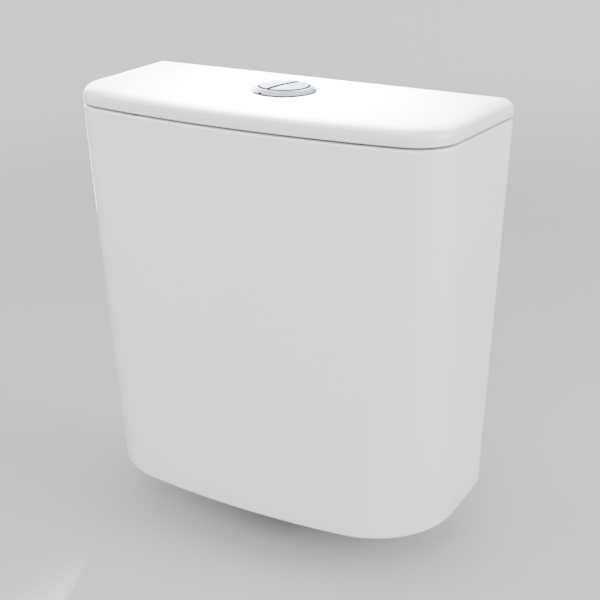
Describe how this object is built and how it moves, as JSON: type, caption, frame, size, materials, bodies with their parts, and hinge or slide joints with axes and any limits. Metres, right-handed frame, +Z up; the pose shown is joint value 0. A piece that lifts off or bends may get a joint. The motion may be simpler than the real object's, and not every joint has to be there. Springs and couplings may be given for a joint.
{
  "type": "close-coupled toilet cistern",
  "caption": "White ceramic close-coupled toilet cistern with a tapered bow-fronted tank, lift-off lid, round dual-flush button, flush valve and float fill valve inside.",
  "frame": {"origin": "on the flush outlet's axis, in the plane of the tank's underside", "axes": "+X to the right seen from the front, +Y towards the wall, +Z up"},
  "size_m": [0.379, 0.1668, 0.4376],
  "materials": {
    "china": "gloss white glaze over vitreous china",
    "chrome": "mirror chrome on moulded plastic",
    "pad_rubber": "soft pale rubber",
    "black_rubber": "black rubber",
    "red_rubber": "soft seal rubber",
    "white_plastic": "white moulded plastic",
    "grey_plastic": "grey moulded plastic",
    "blue_plastic": "blue moulded plastic",
    "green_plastic": "green moulded plastic",
    "steel": "zinc-plated or stainless steel",
    "brass": "plain brass"
  },
  "bodies": {
    "tank": {"cistern_body": "china", "lid_pads": "pad_rubber", "valve_base": "white_plastic", "valve_base_gasket": "black_rubber", "valve_backnut": "grey_plastic", "coupling_washer": "black_rubber", "valve_cage": "white_plastic", "valve_chamber": "white_plastic", "lever_bracket": "blue_plastic", "lever_pins": "steel", "fill_riser": "white_plastic", "riser_washer": "black_rubber", "riser_backnut": "grey_plastic", "inlet_filter": "grey_plastic", "fill_sleeve": "white_plastic", "fill_head": "white_plastic", "fill_diaphragm": "black_rubber", "fill_cap": "blue_plastic", "float_lever_pin": "steel", "coupling_bolts": "steel", "bolt_rubber_washers": "black_rubber", "bolt_upper_washers": "steel", "bolt_lower_washers": "steel", "bolt_nuts": "brass"},
    "lid": {"cistern_lid": "china", "button_bezel": "chrome", "bezel_gasket": "pad_rubber", "button_housing": "white_plastic", "housing_locknut": "grey_plastic", "full_button_spring": "steel", "half_button_spring": "steel"},
    "full_button": {"full_flush_button": "chrome", "full_push_rod": "blue_plastic"},
    "half_button": {"half_flush_button": "chrome", "half_push_rod": "blue_plastic"},
    "flush_stem": {"overflow_tube": "grey_plastic", "seal_washer": "red_rubber", "seal_retainer": "grey_plastic", "full_float": "green_plastic", "half_float": "green_plastic", "lift_yoke": "blue_plastic"},
    "full_rocker": {"full_lever": "blue_plastic"},
    "half_rocker": {"half_lever": "blue_plastic"},
    "half_link": {"half_flush_link": "blue_plastic"},
    "float": {"float_cup": "green_plastic", "float_rod": "white_plastic", "rod_clips": "grey_plastic"},
    "float_arm": {"float_lever": "blue_plastic"}
  },
  "joints": [
    {"name": "lid_lift", "type": "slide", "parent": "tank", "child": "lid", "axis": [0, 0, 1], "range_m": [0, 0.12]},
    {"name": "full_flush_press", "type": "slide", "parent": "lid", "child": "full_button", "axis": [0, 0, -1], "range_m": [0, 0.006], "stiffness_N_per_m": 500, "springref_m": -0.008, "deforming": ["full_button_spring"]},
    {"name": "half_flush_press", "type": "slide", "parent": "lid", "child": "half_button", "axis": [0, 0, -1], "range_m": [0, 0.006], "stiffness_N_per_m": 500, "springref_m": -0.008, "deforming": ["half_button_spring"]},
    {"name": "float_rise", "type": "slide", "parent": "tank", "child": "float", "axis": [0, 0, 1], "range_m": [0, 0.02]},
    {"name": "stem_lift", "type": "slide", "parent": "tank", "child": "flush_stem", "axis": [0, 0, 1], "range_m": [0, 0.0115]},
    {"name": "full_lever_tilt", "type": "hinge", "parent": "tank", "child": "full_rocker", "pos_m": [-0.023, 0, 0.284], "axis": [0, 1, 0], "range_deg": [0, 25]},
    {"name": "half_lever_tilt", "type": "hinge", "parent": "tank", "child": "half_rocker", "pos_m": [0.023, 0, 0.284], "axis": [0, -1, 0], "range_deg": [0, 25]},
    {"name": "half_link_lift", "type": "slide", "parent": "tank", "child": "half_link", "axis": [0, 0, 1], "range_m": [0, 0.0115]},
    {"name": "float_arm_swing", "type": "hinge", "parent": "tank", "child": "float_arm", "pos_m": [-0.136, -0.017, 0.252], "axis": [0, -1, 0], "range_deg": [0, 33]}
  ],
  "couplings": [
    {"joint": "stem_lift", "follows": "full_flush_press", "ratio": 1.88},
    {"joint": "full_lever_tilt", "follows": "full_flush_press", "rad_per_m": 71.7},
    {"joint": "half_lever_tilt", "follows": "half_flush_press", "rad_per_m": 71.7},
    {"joint": "half_link_lift", "follows": "half_flush_press", "ratio": 1.88},
    {"joint": "float_arm_swing", "follows": "float_rise", "rad_per_m": 28}
  ]
}
